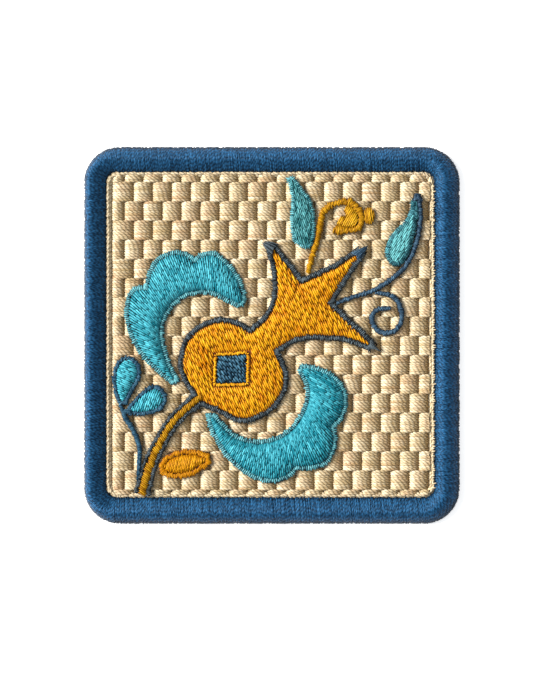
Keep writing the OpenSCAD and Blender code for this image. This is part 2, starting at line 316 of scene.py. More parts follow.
# %% The dyes of this patch
CREAM = thread_look("cream_thread", (146, 118, 74), (182, 158, 115), (228, 213, 181),
                    tinge=(188, 153, 115), groove=0.7, relief=0.11, shine=0.4, seam=0.1, ply=0.9, slant=2)
NAVY = thread_look("navy_thread", (2, 16, 30), (14, 64, 102), (56, 120, 170), groove=0.55, relief=0.06,
                   mottle=0.6, seam=0.4, ply=0.85, slant=1)
GOLD = thread_look("gold_thread", (150, 68, 0), (206, 137, 6), (246, 190, 36), tinge=(200, 118, 4),
                   shine=0.25, groove=0.15, relief=0.04, seam=0.5, mottle=1.2)
AMBER = thread_look("amber_thread", (146, 72, 0), (178, 116, 2), (238, 174, 24), shine=0.25, relief=0.04)
OLD_GOLD = thread_look("old_gold_thread", (100, 58, 0), (156, 105, 2), (228, 174, 34), shine=0.25,
                       groove=0.3, relief=0.05, seam=0.9)
SLATE = thread_look("slate_thread", (2, 6, 8), (11, 18, 25), (114, 130, 138), groove=0.3)
INK = thread_look("ink_thread", (3, 18, 28), (14, 50, 74), (84, 134, 160), groove=0.3)
VINE = thread_look("vine_thread", (4, 14, 24), (18, 42, 64), (98, 134, 160), groove=0.3)
TURQUOISE = thread_look("turquoise_thread", (0, 58, 70), (18, 124, 142), (98, 210, 226), relief=0.04,
                        seam=0.55)
SEA = thread_look("sea_thread", (0, 48, 50), (16, 86, 92), (118, 200, 204), relief=0.04, seam=0.6,
                  mottle=1.2)
TEAL = thread_look("teal_thread", (0, 60, 70), (22, 108, 120), (132, 210, 218), seam=0.5, mottle=1.0)
POND = thread_look("pond_thread", (0, 34, 42), (6, 62, 74), (92, 168, 180), seam=0.6)
# Each padding is darker than its thread: painted shade where it shows between the stitches.
UNDER = {
    "cream": under_look("cream_underlay", 120, 96, 56),
    "navy": under_look("navy_underlay", 10, 24, 42),
    "gold": under_look("gold_underlay", 132, 62, 0),
    "slate": under_look("slate_underlay", 10, 16, 24),
    "turquoise": under_look("turquoise_underlay", 2, 58, 70),
}
print("materials:", len(bpy.data.materials))

# %% [markdown]
# One thread, drawn once
#
# A stitch is a short length of round thread that comes up through the cloth, lies over it and goes
# down again. There are thousands, so one form is drawn with bmesh, a capped tube cut into rings,
# and then repeated as an array: each stitch has its own line of points, and the form's rings are
# set on them. Curves with a round section would look the same, but thousands of them are slow.

# %% The form of a stitch
SIDES = 6


def triangles(bm):
    """The corners and the triangles of a bmesh, as arrays. The bmesh is freed."""
    bmesh.ops.triangulate(bm, faces=bm.faces)
    bm.verts.index_update()
    co = np.array([v.co[:] for v in bm.verts])
    faces = np.array([[v.index for v in f.verts] for f in bm.faces])
    bm.free()
    return co, faces


class Form:
    """A straight tube of so many rings, one apart, read into arrays."""

    def __init__(self, rings):
        bm = bmesh.new()
        bmesh.ops.create_cone(
            bm, cap_ends=True, segments=SIDES, radius1=1, radius2=1, depth=rings - 1
        )
        bmesh.ops.translate(bm, verts=bm.verts, vec=(0, 0, (rings - 1) / 2))
        for cut in range(1, rings - 1):
            everything = bm.verts[:] + bm.edges[:] + bm.faces[:]
            bmesh.ops.bisect_plane(bm, geom=everything, plane_co=(0, 0, cut), plane_no=(0, 0, 1))
        co, self.faces = triangles(bm)
        self.ring = np.rint(co[:, 2]).astype(int)
        self.sideways, self.upwards = co[:, 0], co[:, 1]
        turn = np.arctan2(co[:, 1], co[:, 0]) / (2 * math.pi) + 0.25  # 0 underneath, 0.5 on top
        turn = np.rint(turn * SIDES) / SIDES % 1
        self.turn = turn[self.faces]
        self.turn[(np.ptp(self.turn, axis=1) > 0.5)[:, None] & (self.turn < 0.25)] += 1


FORMS = {rings: Form(rings) for rings in (7, 9, 15)}
print("a stitch of 7 rings has", len(FORMS[7].faces), "triangles")

# %% [markdown]
# From stitches to one mesh
#
# A piece of embroidery is hundreds of stitches of one thread. As single objects they would be slow
# to handle, so a skein gathers the stitches of one piece as arrays, adds the padding under them,
# and sews everything into one mesh. Each stitch keeps its own map for the ply, a tone, and the
# painted shade at each ring, and it gets a cell of its own in the map that an export bakes to.

# %% Small helpers
def unit(v):
    return v / np.maximum(np.linalg.norm(v, axis=-1, keepdims=True), 1e-9)


def left_of(way):
    """The direction a quarter turn to the left."""
    return np.stack([-way[..., 1], way[..., 0]], axis=-1)


def heading(turn):
    """The direction at that many radians from the right, and the one to its left."""
    way = np.array([math.cos(turn), math.sin(turn)])
    return way, left_of(way)


def running_total(steps):
    """How far along each point lies, from the steps between the points."""
    return np.concatenate([np.zeros_like(steps[..., :1]), np.cumsum(steps, axis=-1)], axis=-1)


def packed_solid(node):
    """A node's solid as a bmesh with its doubles merged, and the height of its underside."""
    bm = bmesh.new()
    bm.from_mesh(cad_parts[node].data)
    bmesh.ops.remove_doubles(bm, verts=bm.verts, dist=1e-6)
    bm.normal_update()
    return bm, min(v.co.z for v in bm.verts)


# %% Arrays made into one mesh
CELL_COLUMNS = 0.33  # columns of cells for each row, because a stitch is longer than it is round
CELL_MARGIN, CELL_USED = 0.06, 0.88  # of a cell
STITCHES_HIGH = 0.94  # of the map
PADDING_FROM, PADDING_HIGH = 0.95, 0.05


def bake_map(parts):
    """A map with a cell for each stitch, and a strip above them for the padding."""
    stitches = sum(p["count"] for p in parts)
    columns = max(1, round(math.sqrt(stitches * CELL_COLUMNS)))
    rows = math.ceil(stitches / columns)
    laid, found = 0, []
    for p in parts:
        if p["count"]:
            cell = laid + np.arange(p["count"])
            corner = np.stack([cell % columns, cell // columns], axis=-1)[:, None, :]
            spot = (corner + CELL_MARGIN + p["cell"] * CELL_USED) / (columns, rows)
            found.append((spot * (1, STITCHES_HIGH)).reshape(-1, 2))
            laid += p["count"]
        else:
            found.append(p["flat"] * (1, PADDING_HIGH) + (0, PADDING_FROM))
    return np.concatenate(found)


def joined_mesh(name, parts):
    """One mesh of all the parts, with both of its maps, its tone and its painted shade."""
    def all_of(values):
        return np.concatenate([p[values] for p in parts])
    first = np.cumsum([0] + [len(p["co"]) for p in parts])
    faces = np.concatenate([p["faces"] + start for p, start in zip(parts, first)])
    mesh = bpy.data.meshes.new(name)
    mesh.vertices.add(int(first[-1]))
    mesh.vertices.foreach_set("co", (all_of("co") * MM).ravel())
    mesh.loops.add(faces.size)
    mesh.loops.foreach_set("vertex_index", faces.ravel().astype(np.int32))
    mesh.polygons.add(len(faces))
    mesh.polygons.foreach_set("loop_start", np.arange(0, faces.size, 3, dtype=np.int32))
    which = np.concatenate([np.full(len(p["faces"]), p["material"]) for p in parts])
    mesh.polygons.foreach_set("material_index", which.astype(np.int32))
    mesh.update(calc_edges=True)
    for uv_map, spots in (("thread", all_of("thread")), ("OFBake", bake_map(parts))):
        mesh.uv_layers.new(name=uv_map).uv.foreach_set("vector", spots.ravel())
    for attribute in ("tone", "painted_shading"):
        values = all_of(attribute).astype(np.float32)
        mesh.attributes.new(attribute, "FLOAT", "POINT").data.foreach_set("value", values)
    return mesh


# %% Threads of one piece, gathered and sewn together
PATCH_SIDE = 76
PLY_LENGTH = 40  # millimetres of thread, somewhere along which each stitch begins


class Skein:
    """The threads of one piece, gathered before they become one mesh."""

    def __init__(self):
        self.parts = []

    def lay(self, flat, z, side, wide, tall, painted_shading, tone=None):
        """Stitches through flat, an array of stitches x rings x 2 in millimetres, at the heights
        z. side is the level direction across each stitch, wide and tall are its section, and the next
        argument is the painted shade at each ring, below 0 a painted highlight. Left out, tone varies a
        little from stitch to stitch."""
        count, rings = flat.shape[:2]
        form = FORMS[rings]
        ring = form.ring
        path = np.concatenate([flat, np.broadcast_to(z, (count, rings))[..., None]], axis=-1)
        along = unit(np.gradient(path, axis=1))
        side = np.concatenate([np.broadcast_to(side, (count, 2)), np.zeros((count, 1))], axis=1)
        side = np.broadcast_to(side[:, None], path.shape)
        side = unit(side - along * (side * along).sum(-1, keepdims=True))
        up = np.cross(along, side)
        wide = np.broadcast_to(wide, (count, rings))[:, ring] * form.sideways / 2
        tall = np.broadcast_to(tall, (count, rings))[:, ring] * form.upwards / 2
        co = path[:, ring] + side[:, ring] * wide[..., None] + up[:, ring] * tall[..., None]
        length = running_total(np.linalg.norm(np.diff(path, axis=1), axis=-1))
        length += rng.uniform(0, PLY_LENGTH, (count, 1))
        if tone is None:
            tone = 0.5 + 0.2 * rng.standard_normal(count)
        turn = np.broadcast_to(form.turn, (count, *form.turn.shape))
        at = np.broadcast_to(ring[form.faces] / (rings - 1), turn.shape)
        self.parts.append(
            {
                "co": co.reshape(-1, 3),
                "faces": (form.faces + (np.arange(count) * len(ring))[:, None, None]).reshape(-1, 3),
                "thread": np.stack([length[:, ring[form.faces]], turn], axis=-1).reshape(-1, 2),
                "cell": np.stack([at, turn], axis=-1).reshape(count, -1, 2),
                "tone": np.repeat(np.clip(tone, 0, 1), len(ring)),
                "painted_shading": np.broadcast_to(painted_shading, (count, rings))[:, ring].ravel(),
                "count": count,
                "material": 0,
            }
        )

    def underlay(self, node, inset, top=None, ceiling=None):
        """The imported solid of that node, drawn in a little, as the padding under the threads. top
        is its new height, and ceiling gives the most height at x, y."""
        bm, bottom = packed_solid(node)
        height = max(v.co.z for v in bm.verts) - bottom
        for v in bm.verts:
            v.co -= v.normal * (inset * MM)
            if top is not None:
                v.co.z = bottom + (v.co.z - bottom) / height * (top * MM - bottom)
            if ceiling is not None:
                v.co.z = min(v.co.z, ceiling(v.co.x / MM, v.co.y / MM) * MM)
        co, faces = triangles(bm)
        co = co / MM
        flat = co[faces].reshape(-1, 3)[:, :2] / PATCH_SIDE + 0.5
        self.parts.append(
            {
                "co": co,
                "faces": faces,
                "thread": flat * PATCH_SIDE,
                "flat": flat,
                "tone": np.zeros(len(co)),
                "painted_shading": np.ones(len(co)),
                "count": 0,
                "material": 1,
            }
        )

    def sew(self, name, look, dye, *nodes, slot=None):
        """Joins the threads into one mesh that rides on the patch and stands for those nodes. The
        padding has that dye. slot is not used."""
        slot = slot or f"{dye}_thread"
        made = in_scene(name, joined_mesh(name, self.parts), look, UNDER[dye])
        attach(made, "root")
        if nodes:
            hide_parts(*nodes)
        stitches = sum(p["count"] for p in self.parts)
        print(f"{name}: {stitches} stitches, {len(made.data.polygons)} triangles")


# %% [markdown]
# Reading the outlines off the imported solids
#
# A fill is bounded by one outline, and a satin bar by two sides that run along together, like the
# rails of a ladder. They could be typed in again as tables of points, but the flat underside of
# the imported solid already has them, so they are read from there and always agree with it. The
# bar's two sides have a point each at the same stations, so pairing them gives the rungs along
# which the satin threads lie.


# %% Outlines and rails
def area(line):
    """The area in a closed line, below 0 where the line runs clockwise."""
    x, y = line[:, 0], line[:, 1]
    return 0.5 * float((x * np.roll(y, -1) - np.roll(x, -1) * y).sum())


def outlines(node):
    """The closed lines round a node's underside, in millimetres, the outer one first."""
    bm, bottom = packed_solid(node)
    under = {f for f in bm.faces if all(v.co.z < bottom + 1e-5 for v in f.verts)}
    following = {}
    for f in under:
        for loop in f.loops:
            if not any(g in under for g in loop.edge.link_faces if g is not f):
                following[loop.link_loop_next.vert] = loop.vert  # turned round, as seen from above
    found = []
    while following:
        here = min(following, key=lambda v: v.co[:])  # a fixed start, so each run is the same
        line = []
        while here in following:
            line.append((here.co.x / MM, here.co.y / MM))
            here = following.pop(here)
        found.append(np.array(line))
    bm.free()
    return sorted(found, key=lambda line: -abs(area(line)))


def rails(node):
    """The two sides of a satin bar, station by station. A closed bar repeats its first station."""
    found = outlines(node)
    if len(found) == 2:
        outer, inner = (line if area(line) > 0 else line[::-1] for line in found)
        count = len(inner)
        gaps = [((outer[:count] - np.roll(inner, -k, axis=0)) ** 2).sum() for k in range(count)]
        inner = np.roll(inner, -int(np.argmin(gaps)), axis=0)
        return np.vstack([outer, outer[:1]]), np.vstack([inner, inner[:1]])
    line = found[0]
    half = len(line) // 2
    gaps = []
    for k in range(len(line)):
        turned = np.roll(line, -k, axis=0)
        gaps.append(((turned[:half] - turned[: half - 1 : -1]) ** 2).sum())
    line = np.roll(line, -int(np.argmin(gaps)), axis=0)
    return line[:half], line[: half - 1 : -1]


for name in ("fruit_outline", "upper_leaf_rim", "stem"):
    a, b = rails(name)
    width = float(np.median(np.linalg.norm(a - b, axis=1)))
    print(name, "stations", len(a), len(b), "width", round(width, 2))

# %% [markdown]
# Fills
#
# A broad shape is filled with rows of running stitches. Where each stitch dives, the next begins,
# and from row to row those points are shifted, so that they make a fine pattern of dark dots, dips
# in the fill with painted shade on them, and no groove runs across. The rows are cut to the
# outline, and the padding makes the whole fill swell a little towards its middle. A swollen face
# with a bump pattern would be lighter, but the low light needs real threads, with a shadow beside
# each one.


# %% Where points and rows lie in an outline
SHORTEST_ROW = 0.4  # millimetres
PAST_GUIDES = 0.6  # millimetres by which a row may miss the line through the guides


def inside(points, lines):
    """True for each point inside the outlines, holes left out."""
    x, y = points[..., 0], points[..., 1]
    odd = np.zeros(x.shape, bool)
    for line in lines:
        for (x0, y0), (x1, y1) in zip(line, np.roll(line, -1, axis=0)):
            if y0 != y1:
                odd ^= ((y0 > y) != (y1 > y)) & (x < x0 + (y - y0) * (x1 - x0) / (y1 - y0))
    return odd


def depth_in(points, lines):
    """Distance from each point to the nearest outline."""
    best = np.full(points.shape[:-1], np.inf)
    for line in lines:
        for p, q in zip(line, np.roll(line, -1, axis=0)):
            v = q - p
            t = np.clip(((points - p) @ v) / max(float(v @ v), 1e-9), 0, 1)
            best = np.minimum(best, np.linalg.norm(points - p - t[..., None] * v, axis=-1))
    return best


def cuts(origin, way, lines):
    """Where a straight line enters and leaves the outlines, as distances from its origin."""
    hits = []
    for line in lines:
        p, q = line, np.roll(line, -1, axis=0)
        off_p, off_q = (p - origin) @ left_of(way), (q - origin) @ left_of(way)
        for k in np.nonzero((off_p > 0) != (off_q > 0))[0]:
            t = off_p[k] / (off_p[k] - off_q[k])
            hits.append(float((p[k] + t * (q[k] - p[k]) - origin) @ way))
    hits.sort()
    return list(zip(hits[::2], hits[1::2]))


def straight_rows(lines, angle, pitch):
    """Parallel rows over the whole of the outlines."""
    way, off = heading(math.radians(angle))
    spread = np.concatenate(lines) @ off
    rows = []
    for number, d in enumerate(np.arange(spread.min() + pitch / 2, spread.max(), pitch)):
        spans = [(a, b) for a, b in cuts(off * d, way, lines) if b - a > SHORTEST_ROW]
        rows += [(number, off * d, way, a, b) for a, b in spans]
    return rows


def fanned_rows(lines, guides, pitch):
    """Rows that turn from guide to guide, each x, y and the angle of the threads there. They are
    a pitch apart, measured square to the threads."""
    guides = np.array(guides, float)
    guides = np.vstack([2 * guides[0] - guides[1], guides, 2 * guides[-1] - guides[-2]])
    step_x, step_y, _ = np.diff(guides, axis=0).T
    turned = np.radians(guides[1:, 2] + guides[:-1, 2]) / 2
    travelled = running_total(np.abs(step_x * np.sin(turned) - step_y * np.cos(turned)))
    rows = []
    for number, d in enumerate(np.arange(0, travelled[-1], pitch)):
        x, y, angle = (np.interp(d, travelled, guides[:, k]) for k in range(3))
        origin, way = np.array([x, y]), heading(math.radians(angle))[0]
        spans = [(a, b) for a, b in cuts(origin, way, lines) if a < PAST_GUIDES and b > -PAST_GUIDES]
        rows += [(number, origin, way, a, b) for a, b in spans]
    return rows


print("the fruit covers", round(area(outlines("fruit")[0])), "square millimetres")

# %% Running stitches along the rows
SWAY, UNLEVEL, MISSED = 0.03, 0.02, 0.06  # millimetres: bent sideways, too high or low, off the rim
LEAST_ROOM = 0.3  # of a stitch's length, to the ends of its row
# A stitch that runs on under a rim gets painted shade there, as much as RIM_DARK says.
RIM_DARK, THINNER = 0.6, 0.45  # how dark a stitch gets under a rim, and how much thinner at its ends
SHADE_REACH = 0.85  # millimetres in from the rim
FILL_INSET, FILL_CORE = 0.12, 1.9  # the padding, drawn in, and its height


def between(a, b, at):
    """Points on the way from each a to each b."""
    return a[:, None] + (b - a)[:, None] * at[:, None]


def spaced(rings):
    """Places along a stitch, closer together at its ends."""
    t = np.linspace(0, 1, rings)
    return t - 0.11 * np.sin(2 * math.pi * t)


def run_stitches(skein, rows, length, lines, reach, shift=0.4, top=2.05, rise=0.25, wide=0.5,
                 tall=0.34, dip=0.3, edge_dip=0.3, dark=1.0, uneven=0.1, wander=0.0, rings=7,
                 under_rim=0.3, tone=0.5, tones=0.25, spindle=0.0, fade=0.24, edge_shade=0.0):
    """Running stitches along rows, each (number, origin, way, start, end). With a length of 0,
    each row is one stitch. From row to row they shift by a part of their length, and wander and
    uneven make that irregular. They lie at the height top at the outline and swell by rise over
    the distance reach from it. They dip over the distance fade from each end and get painted shade
    there, as much as dark says, and spindle thins them there. Their ends run on under the rim, and
    edge_shade puts painted shade on them beside it."""
    starts, ends, ways, rims = [], [], [], []
    for number, origin, way, start, end in rows:
        points = np.zeros(0)
        if length:
            first = (number * shift + rng.uniform(0, wander)) % 1 * length
            places = np.arange(math.floor((start - first) / length), (end - first) / length)
            points = places * length + first
        points = points + rng.normal(0, uneven, len(points))
        room = min(LEAST_ROOM * length, 1.0)
        points = [k for k in points if start + room < k < end - room]
        points = [start - rng.normal(under_rim, MISSED), *points, end + rng.normal(under_rim, MISSED)]
        for k, (a, b) in enumerate(zip(points, points[1:])):
            starts.append(origin + way * a)
            ends.append(origin + way * b)
            ways.append(way)
            rims.append((k == 0, k == len(points) - 2))
    starts, ends, rims = np.array(starts), np.array(ends), np.array(rims)
    side = left_of(np.array(ways))
    long = np.linalg.norm(ends - starts, axis=1)[:, None]
    at = spaced(rings)
    bend = np.sin(math.pi * at) * rng.normal(0, SWAY, (len(long), 1))
    flat = between(starts, ends, at) + side[:, None] * bend[..., None]
    within = depth_in(flat, lines) * inside(flat, lines)
    deep = np.clip(within / reach, 0, 1)
    z = top - tall / 2 + rise * (1 - (1 - deep) ** 2) + rng.normal(0, UNLEVEL, (len(flat), 1))
    sunk = np.exp(-((at * long / fade) ** 2)), np.exp(-(((1 - at) * long / fade) ** 2))
    z = z - sum(s * np.where(rims[:, k : k + 1], edge_dip, dip) for k, s in enumerate(sunk))
    # Painted shade where a stitch dips at each end, and painted shade beside the rim.
    painted_shading = sum(s * np.where(rims[:, k : k + 1], RIM_DARK, dark) for k, s in enumerate(sunk))
    painted_shading = painted_shading + edge_shade * np.exp(-((within / SHADE_REACH) ** 2))
    taper = 1 - np.maximum(THINNER * np.maximum(*sunk), spindle * (2 * at - 1) ** 2)
    tone = tone + tones * rng.standard_normal(len(long))
    skein.lay(flat, z, side, wide * taper, tall * taper, np.clip(painted_shading, 0, 1), tone)


def grown(line, by):
    """The closed line, moved outwards."""
    line = line if area(line) > 0 else line[::-1]
    way = unit(np.roll(line, -1, axis=0) - np.roll(line, 1, axis=0))
    return line - left_of(way) * by


def fill_piece(node, rows, pitch, length, look, dye, name=None, hole=1, grow=0, **how):
    """A fill over its padding. rows is the angle of its threads, or a list of guides. Its outline
    is moved out by grow, and each hole in it made hole times as large."""
    skein = Skein()
    skein.underlay(node, inset=FILL_INSET, top=FILL_CORE)
    lines = outlines(node)
    lines[0] = grown(lines[0], grow)
    lines[1:] = [(line - line.mean(axis=0)) * hole + line.mean(axis=0) for line in lines[1:]]
    make_rows = fanned_rows if isinstance(rows, list) else straight_rows
    run_stitches(skein, make_rows(lines, rows, pitch), length, lines, **how)
    skein.sew(name or f"{node}_stitches", look, dye, node)


# %% [markdown]
# Satin bars
#
# The rims, stems and scrolls are satin stitch: threads side by side, straight across a narrow bar,
# over a line of padding that gives them a round back. The needle goes down just outside the bar on
# one side and comes up on the other, and the holes aren't quite in line, which gives satin its
# slightly saw-toothed sides. A swept tube would have smooth sides, so the threads are laid one by
# one here too.

# %% Satin stitch
RELIEF = 1.67  # millimetres, where the raised stitches start
SUNK, RAISED, NEAR = 0.1, 0.34, 0.35  # how far a foot goes in, stands higher, and counts as beside
SATIN_TALL = 0.3
ARCH = 0.5 - 0.5 * np.cos(np.linspace(0, math.pi, 7))  # places along a stitch of seven rings
TAPER = np.array([0.15, 0.65, 1, 1, 1, 0.65, 0.15])
BARE = 0.95  # millimetres round a point where a bar has no threads
BAR_INSET, BAR_CORE, BARE_CORE = 0.1, 2.1, 1.5  # the padding, drawn in, and its height


def point_at(where, travelled, line):
    """The points that far along a line."""
    return np.stack([np.interp(where, travelled, line[:, k]) for k in (0, 1)], axis=-1)


def rungs(a, b, pitch, lean):
    """Pairs of points on the two sides, a pitch apart along the longer one."""
    steps = [np.linalg.norm(np.diff(side, axis=0), axis=1) for side in (a, b)]
    travelled = running_total(np.maximum(*steps))
    count = max(2, round(travelled[-1] / pitch))
    at = (np.arange(count) + 0.5) * travelled[-1] / count
    return point_at(at - lean / 2, travelled, a), point_at(at + lean / 2, travelled, b)


print("threads across the stem, a millimetre apart:", len(rungs(*rails("stem"), 1, 0)[0]))


def satin(skein, node, beside=(), height=0.56, pitch=0.34, wide=0.42, lean=0.12, ragged=0.13,
          over=0.04, longer=(0, 0), clear=(), tone=0.45, uneven=0.2, feet_dark=0.35):
    """Threads across a bar. Where a foot stands beside one of those fills, it stands higher. over
    lets the threads reach past the sides, and longer adds millimetres at the ends of an open bar.
    clear lists points, x and y, round which the bar is left bare, and feet_dark is how much
    painted shade the threads get close to their feet."""
    a, b = (
        np.vstack([s[0] + unit(s[0] - s[2]) * longer[0], s, s[-1] + unit(s[-1] - s[-3]) * longer[1]])
        for s in rails(node)
    )
    a, b = rungs(a, b, pitch, lean)
    bare = np.zeros(len(a), bool)
    for point in clear:
        bare |= np.linalg.norm((a + b) / 2 - point, axis=1) < BARE
    a, b = a[~bare], b[~bare]
    across = unit(b - a)
    count = len(a)
    a = a - across * rng.normal(over, ragged, (count, 1))
    b = b + across * rng.normal(over, ragged, (count, 1))
    feet = []
    for end in (a, b):
        near = np.full(count, np.inf)
        for fill in beside:
            line = outlines(fill)
            near = np.minimum(near, np.where(inside(end, line), 0, depth_in(end, line)))
        feet.append((RELIEF - SUNK + RAISED * (near < NEAR))[:, None])
    foot = feet[0] + (feet[1] - feet[0]) * ARCH
    crest = RELIEF + (height - SATIN_TALL / 2) * (1 + 0.07 * rng.standard_normal((count, 1)))
    z = foot + (crest - foot) * np.sqrt(np.clip(1 - (2 * ARCH - 1) ** 2, 0, 1))
    # Painted shade at both feet of each thread, none on its crest.
    painted_shading = [1, feet_dark, feet_dark * 0.3, 0, feet_dark * 0.3, feet_dark, 1]
    skein.lay(between(a, b, ARCH), z, left_of(across), wide * TAPER, SATIN_TALL * TAPER, painted_shading,
              tone + uneven * rng.standard_normal(count))


def satin_piece(node, look, dye, slot=None, **how):
    """A satin bar over its padding, which stays low where the bar is left bare."""
    def ceiling(x, y):
        bare = any(math.dist((x, y), point) < 1.4 * BARE for point in how.get("clear", ()))
        return BARE_CORE if bare else math.inf
    skein = Skein()
    skein.underlay(node, inset=BAR_INSET, top=BAR_CORE, ceiling=ceiling)
    satin(skein, node, **how)
    skein.sew(f"{node}_satin", look, dye, node, slot=slot)


# %% Edgings
TICK_WIDE, TICK_TALL = 0.3, 0.26
TURNING = 0.35  # millimetres to each side over which a stitch takes its direction from the outline


def edging(name, node, look, dye, pitch, inward, outward, heights, tone, uneven=0.25):
    """Short stitches square to a node's outline, from inward of it to outward. They fan at its
    corners, and pass through those three heights."""
    line = outlines(node)[0]
    closed = np.vstack([line, line[:1]])
    closed = closed if area(line) > 0 else closed[::-1]
    travelled = running_total(np.linalg.norm(np.diff(closed, axis=0), axis=1))
    at = np.arange(0, travelled[-1], pitch)
    spot, before, after = (
        point_at((at + d) % travelled[-1], travelled, closed) for d in (0, -TURNING, TURNING)
    )
    way = unit(after - before)
    out = -left_of(way)
    start = spot - out * rng.normal(inward, 0.08, (len(at), 1))
    end = spot + out * rng.normal(outward, 0.08, (len(at), 1))
    tone = tone + uneven * rng.standard_normal(len(at))
    skein = Skein()
    # Painted shade at both ends of each stitch.
    skein.lay(between(start, end, ARCH), np.interp(ARCH, [0, 0.5, 1], heights), way, TICK_WIDE * TAPER,
              TICK_TALL * TAPER, (1, 0.35, 0, 0, 0, 0.35, 1), tone)
    skein.sew(name, look, dye)


# %% [markdown]
# The cloth and the brick ground
#
# The cloth itself is hidden from the front. It is a plain weave, and from the back it shows with
# the wrapped edge round it. It stays a plain thin sheet, because nothing bends it here.
#
# The ground is a brick fill. Each brick is eight threads laid side by side from left to right over
# a cord of padding, so it is a little hump, about 3.85 mm from left to right and 3.9 mm from top to
# bottom, and the bricks of every other row are shifted by half. The threads lie flat on top and
# dive steeply at both ends. A tiled bump would show the bricks too, but not the shadow that each
# hump throws on the next.

# %% Base cloth
WEAVE = 0.42  # millimetres from one thread of the cloth to the next


def weave_look():
    look = Look("backing_cloth")
    place = look.node("ShaderNodeTexCoord", out="Object")
    x, y = look.x_and_y(place)
    count = 2 * math.pi / (WEAVE * MM)
    warp, weft = (x * count).sine(), (y * count).sine()
    over = ((x * (count / 2)).sine() * (y * (count / 2)).sine() * 4).within()
    height = (warp * over + weft * (1 - over)) * 0.5 + 0.5
    grain = look.node("ShaderNodeTexNoise", {"Vector": place, "Scale": 700.0, "Detail": 4.0})
    # The cloth is darker where its weave lies low, which is painted shade in the hollows; the grain is the
    # cloth's own.
    colour = look.mix((height * 0.6 + grain * 0.5).within(), rgb(132, 122, 104), rgb(206, 198, 180))
    bump = look.bump(height + grain * 0.3, 0.05)
    return look.finish(Base_Color=colour, Roughness=0.85, Normal=bump, Sheen_Weight=0.2)


CLOTH_HALF, CLOTH_RADIUS, CLOTH_THICK, CLOTH_LIFT = 33.9, 3.0, 0.85, 0.04
bm = bmesh.new()
bmesh.ops.create_grid(bm, x_segments=1, y_segments=1, size=CLOTH_HALF * MM)
bmesh.ops.bevel(
    bm,
    geom=bm.verts[:],
    offset=CLOTH_RADIUS * MM,
    affect="VERTICES",
    segments=6,
    profile=0.5,
    material=-1,
)
lifted = bmesh.ops.extrude_face_region(bm, geom=bm.faces[:])
bmesh.ops.translate(
    bm,
    verts=[v for v in lifted["geom"] if isinstance(v, bmesh.types.BMVert)],
    vec=(0, 0, CLOTH_THICK * MM),
)
bmesh.ops.translate(bm, verts=bm.verts, vec=(0, 0, CLOTH_LIFT * MM))
bmesh.ops.recalc_face_normals(bm, faces=bm.faces)
cloth = new_object("cloth", bm, weave_look())
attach(cloth, "root")
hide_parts("base_cloth")
print("cloth:", 2 * CLOTH_HALF, "mm square")

# %% Rows of bricks
BRICK_WIDE, BRICK_HIGH, THREADS = 3.85, 3.893, 8
BRICK_TOP, EVEN_EDGE, ODD_EDGE = 31.0, -20.15, -18.2  # of row 0, and where a brick starts in a row
GROUND_HALF, GROUND_RADIUS = 32.9, 2.0
GROUND_LEFT, GROUND_RIGHT, GROUND_TOP, GROUND_BOTTOM = -32.25, 32.1, 32.7, -32.2
SHORTEST = 1.1  # a shorter rest of a brick is left out, or joined to the next brick
HUMP_X = [0, 0.15, 0.4, 0.75, 1.15, 1.6, 2.2, 2.75, 3.2, 3.55, 3.85]  # along a brick
HUMP_Z = [0.84, 1.03, 1.25, 1.42, 1.5, 1.52, 1.49, 1.4, 1.25, 1.06, 0.84]  # and the height there
GROUND_WIDE, GROUND_TALL = 0.7, 0.24  # the section of a thread
GROUND_NARROWER = 0.2  # by how much where it is low
# Painted shade along a brick: a little at its left foot, then a painted highlight below 0 where it rises
# towards the light, and more painted shade towards its right end, which falls away from it.
SHADE_X = [0, 0.1, 0.5, 1.1, 1.8, 2.6, 3.2, 3.7]
SHADE = [0.5, -0.3, -0.6, -0.1, 0.1, 0.22, 0.4, 0.9]  # how dark along a brick, or below 0 how pale


def ground_limits(y):
    """How far the bricks reach to the left and right at height y, inside the round corners."""
    past = np.clip(abs(y) - (GROUND_HALF - GROUND_RADIUS), 0, GROUND_RADIUS)
    corner = GROUND_RADIUS - math.sqrt(GROUND_RADIUS**2 - past**2)
    return GROUND_LEFT + corner, GROUND_RIGHT - corner


def brick_row(number):
    """The stitches in one row of bricks: x from, x to, y, and where their brick starts and ends."""
    edge = EVEN_EDGE if number % 2 == 0 else ODD_EDGE
    found = []
    for k in range(THREADS):
        y = BRICK_TOP - number * BRICK_HIGH - (k + 0.5) * BRICK_HIGH / THREADS
        if y > GROUND_TOP or y < GROUND_BOTTOM:
            continue
        left, right = ground_limits(y)
        for brick in range(-5, 16):
            a, b = edge + brick * BRICK_WIDE, edge + (brick + 1) * BRICK_WIDE
            if a < left + SHORTEST:
                a = left
            if min(b, right) - a > SHORTEST:
                found.append((a, min(b, right), y, a, b))
    return found


print("threads in the first full row of bricks:", len(brick_row(0)))

# %% [markdown]
# On a real patch the ground runs only a little way under the sprig. So a stitch of it is left out
# here when every point of it lies well under one of the broad pieces. All of the ground could be
# kept, but that would be many triangles that are never seen.

# %% Brick ground
WELL_UNDER = 0.35  # millimetres in from the outline of a piece that hides the ground
COVERED = [outlines(name)[0] for name in ("upper_leaf_rim", "lower_leaf_rim", "fruit", "bud_upper_rim",
                                          "bud_lower_rim", "top_drop", "right_drop", "gold_leaf_rim")]


def covered(points):
    """True where every point of a stitch lies well under the sprig."""
    hidden = np.zeros(len(points), bool)
    for line in COVERED:
        hidden |= (inside(points, [line]) & (depth_in(points, [line]) > WELL_UNDER)).all(axis=1)
    return hidden


